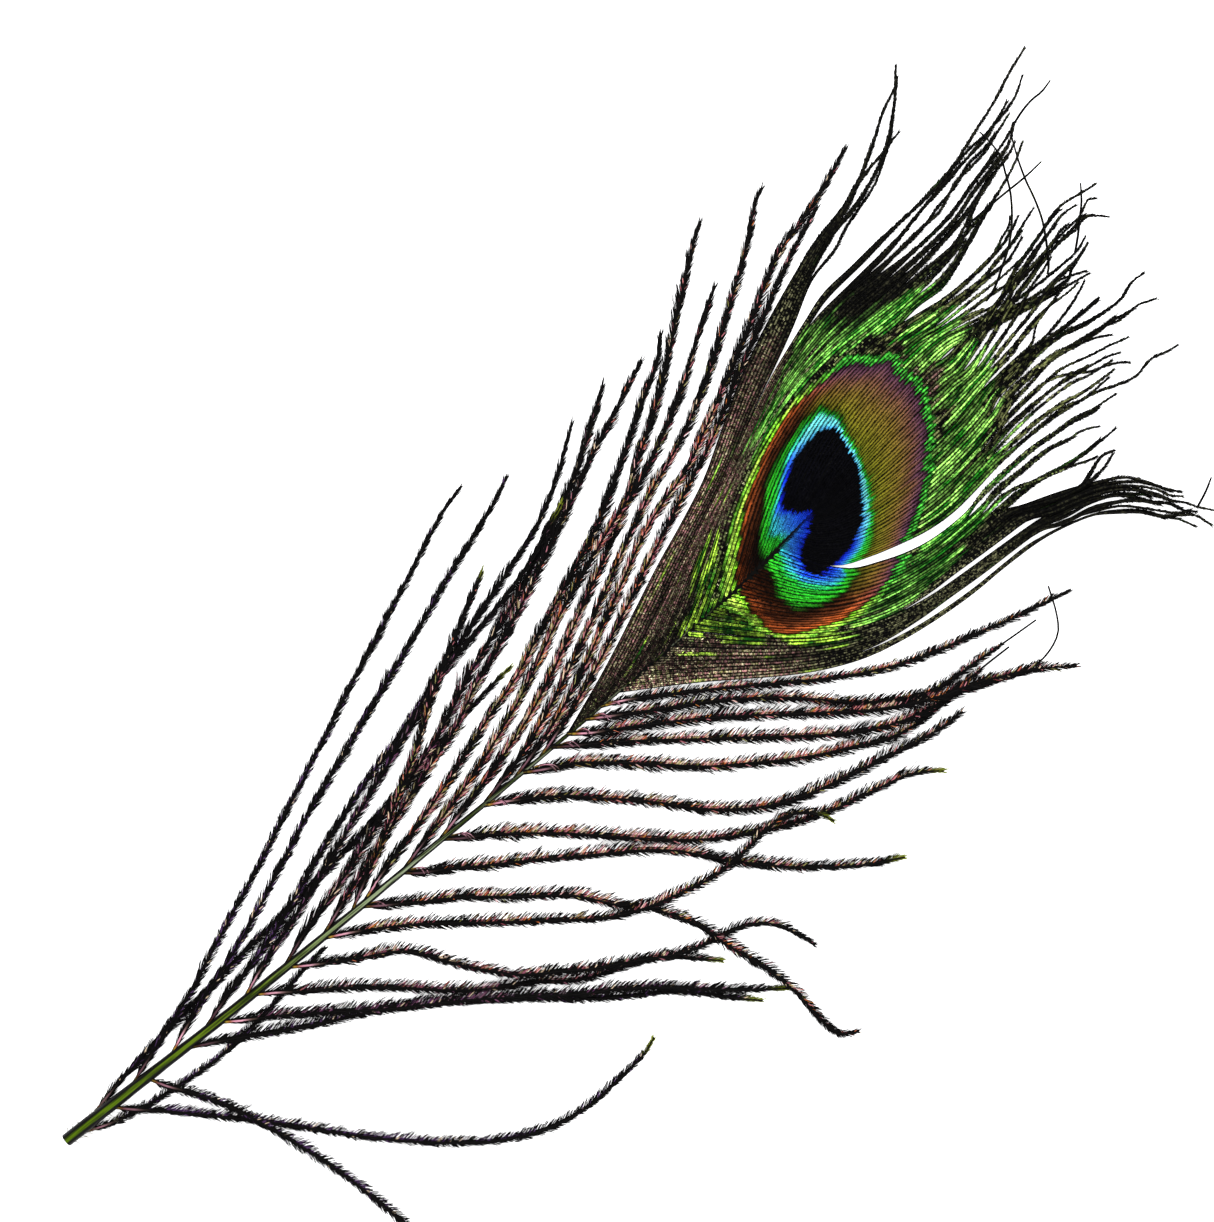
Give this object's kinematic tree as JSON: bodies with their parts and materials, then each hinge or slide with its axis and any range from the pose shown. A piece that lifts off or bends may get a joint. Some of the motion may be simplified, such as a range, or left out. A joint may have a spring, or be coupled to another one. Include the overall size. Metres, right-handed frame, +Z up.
{
  "type": "tail feather",
  "caption": "Peacock tail feather: a tapering flat-bottomed shaft with loose barbs along both sides and a fan of clinging barb locks that carry the eye.",
  "frame": {"origin": "on the flat underside of the shaft, 6 mm from its cut end", "axes": "+Y along the shaft from the cut end to the eye, +Z up from the table the feather lies on, +X to the right as seen from above"},
  "size_m": [0.126, 0.2463, 0.0034],
  "materials": {
    "shaft_horn": "satin horn, olive at the quill and grey towards the eye",
    "dark_barb": "matte dark fibre with a violet and pink sheen",
    "dark_vane": "matte dark brown and green fibre",
    "green_vane": "iridescent green fibre",
    "eye_vane": "iridescent bronze, green, blue and violet fibre"
  },
  "bodies": {
    "root": {"shaft": "shaft_horn", "barb_left_01": "dark_barb", "barb_left_02": "dark_barb", "barb_left_03": "dark_barb", "barb_left_04": "dark_barb", "barb_left_05": "dark_barb", "barb_left_06": "dark_barb", "barb_left_07": "dark_barb", "barb_left_08": "dark_barb", "barb_left_09": "dark_barb", "barb_left_10": "dark_barb", "barb_left_11": "dark_barb", "barb_left_12": "dark_barb", "barb_left_13": "dark_barb", "barb_left_14": "dark_barb", "barb_right_01": "dark_barb", "barb_right_02": "dark_barb", "barb_right_03": "dark_barb", "barb_right_04": "dark_barb", "barb_right_05": "dark_barb", "barb_right_06": "dark_barb", "barb_right_07": "dark_barb", "barb_right_08": "dark_barb", "barb_right_09": "dark_barb", "barb_right_10": "dark_barb", "barb_right_11": "dark_barb", "barb_right_12": "dark_barb", "barb_right_13": "dark_barb", "barb_right_14": "dark_barb", "barb_right_15": "dark_barb", "barb_right_16": "dark_barb", "barb_right_17": "dark_barb", "lock_left_outer": "dark_vane", "lock_left_dark": "dark_vane", "lock_left_green": "green_vane", "lock_left_eye": "eye_vane", "lock_crown": "eye_vane", "lock_right_inner": "eye_vane", "lock_right_tall": "eye_vane", "lock_right_green": "green_vane", "lock_right_dark": "dark_vane", "lock_right_outer": "dark_vane"}
  },
  "joints": []
}
